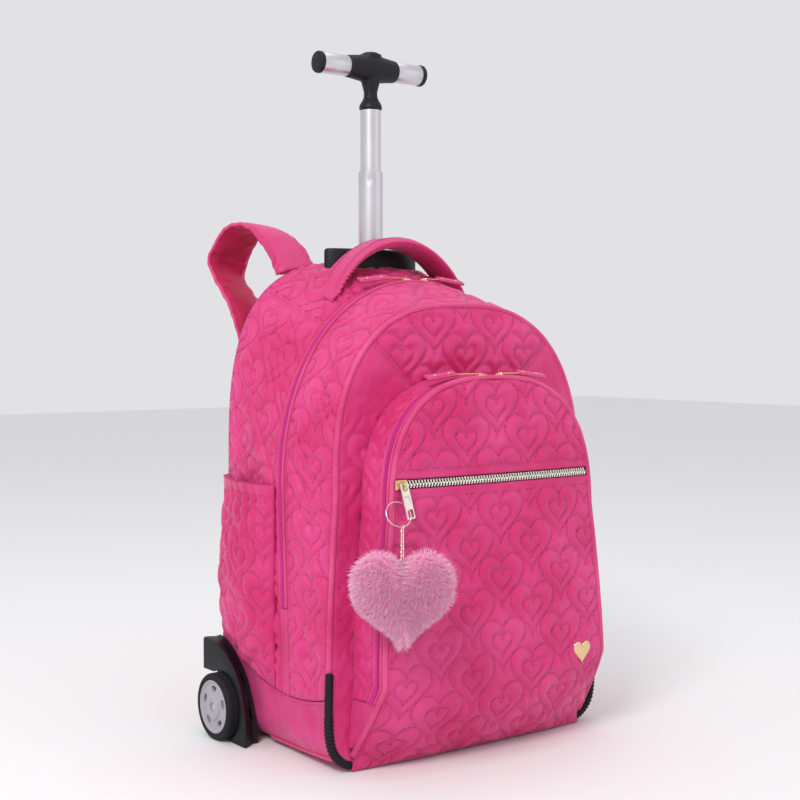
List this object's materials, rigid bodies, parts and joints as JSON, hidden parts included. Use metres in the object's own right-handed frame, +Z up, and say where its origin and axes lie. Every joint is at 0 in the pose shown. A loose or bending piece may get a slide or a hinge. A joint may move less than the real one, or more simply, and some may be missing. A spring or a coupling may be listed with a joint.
{
  "type": "wheeled backpack",
  "caption": "Arch-shaped quilted school bag with a front pocket, bottle pockets, shoulder straps, telescopic pull pole with T-grip, corner wheels and a fur heart charm.",
  "frame": {"origin": "middle of the bag's flat underside, on the floor", "axes": "+Z up, -Y towards the front pocket, +X to the right of a viewer who faces the front pocket"},
  "size_m": [0.382, 0.3867, 0.6877],
  "materials": {
    "quilted_fabric": "hot pink woven fabric quilted with hearts, slight sheen",
    "plain_fabric": "hot pink twill, matt",
    "webbing": "flat woven nylon webbing",
    "zip_tape": "magenta coil zip and tape",
    "piping": "cord piping in pink bias tape",
    "guard_rubber": "ribbed black rubber",
    "tyre": "black tread",
    "hub_plastic": "silver grey moulded plastic",
    "black_plastic": "satin black moulded plastic",
    "satin_aluminium": "satin anodised tube",
    "gold_metal": "pale gold plated, polished",
    "silver_metal": "nickel plated, polished",
    "fur": "short dense plush fur"
  },
  "bodies": {
    "root": {"rear_gusset": "quilted_fabric", "front_gusset": "quilted_fabric", "back_panel": "quilted_fabric", "front_panel": "quilted_fabric", "pocket_gusset": "quilted_fabric", "pocket_face_lower": "quilted_fabric", "pocket_face_upper": "quilted_fabric", "side_pocket_left": "quilted_fabric", "side_pocket_right": "quilted_fabric", "zipper_strip_left": "plain_fabric", "zipper_strip_right": "plain_fabric", "base_tray": "plain_fabric", "pocket_corner_left": "plain_fabric", "pocket_corner_right": "plain_fabric", "carry_handle": "plain_fabric", "shoulder_strap_left": "plain_fabric", "shoulder_strap_right": "plain_fabric", "main_zip_tab_left": "plain_fabric", "main_zip_tab_right": "plain_fabric", "pocket_zip_tab_left": "plain_fabric", "pocket_zip_tab_right": "plain_fabric", "strap_webbing_left": "webbing", "strap_webbing_right": "webbing", "main_zipper": "zip_tape", "pocket_zipper": "zip_tape", "body_piping": "piping", "pocket_piping": "piping", "corner_guard_left": "guard_rubber", "corner_guard_right": "guard_rubber", "wheel_housing_left": "black_plastic", "wheel_housing_right": "black_plastic", "pole_foot": "black_plastic", "pole_collar": "black_plastic", "strap_buckle_left": "black_plastic", "strap_buckle_right": "black_plastic", "pole_outer_tube": "satin_aluminium", "metal_zipper": "gold_metal", "metal_zip_slider": "gold_metal", "heart_badge": "gold_metal", "main_zip_slider_left": "gold_metal", "main_zip_slider_right": "gold_metal", "pocket_zip_slider_left": "gold_metal", "pocket_zip_slider_right": "gold_metal", "metal_zip_puller": "silver_metal", "key_ring": "silver_metal", "key_chain": "silver_metal", "fur_heart": "fur"},
    "mid_pole": {"pole_mid_tube": "satin_aluminium"},
    "inner_pole": {"pole_inner_tube": "satin_aluminium", "grip_core": "black_plastic", "grip_sleeve_left": "satin_aluminium", "grip_sleeve_right": "satin_aluminium", "grip_cap_left": "black_plastic", "grip_cap_right": "black_plastic"},
    "button": {"grip_button": "black_plastic"},
    "wheel_left": {"tyre_left": "tyre", "hub_left": "hub_plastic"},
    "wheel_right": {"tyre_right": "tyre", "hub_right": "hub_plastic"}
  },
  "joints": [
    {"name": "mid_pole_slide", "type": "slide", "parent": "root", "child": "mid_pole", "axis": [0, 0, 1], "range_m": [-0.078, 0.155]},
    {"name": "inner_pole_slide", "type": "slide", "parent": "mid_pole", "child": "inner_pole", "axis": [0, 0, 1], "range_m": [-0.063, 0.184]},
    {"name": "button_slide", "type": "slide", "parent": "inner_pole", "child": "button", "axis": [0, 0, -1], "range_m": [0, 0.0035], "stiffness_N_per_m": 300, "springref_m": -0.001},
    {"name": "wheel_left_spin", "type": "hinge", "parent": "root", "child": "wheel_left", "pos_m": [-0.178, 0.0773, 0.0325], "axis": [1, 0, 0], "continuous": true},
    {"name": "wheel_right_spin", "type": "hinge", "parent": "root", "child": "wheel_right", "pos_m": [0.178, 0.0773, 0.0325], "axis": [1, 0, 0], "continuous": true}
  ]
}
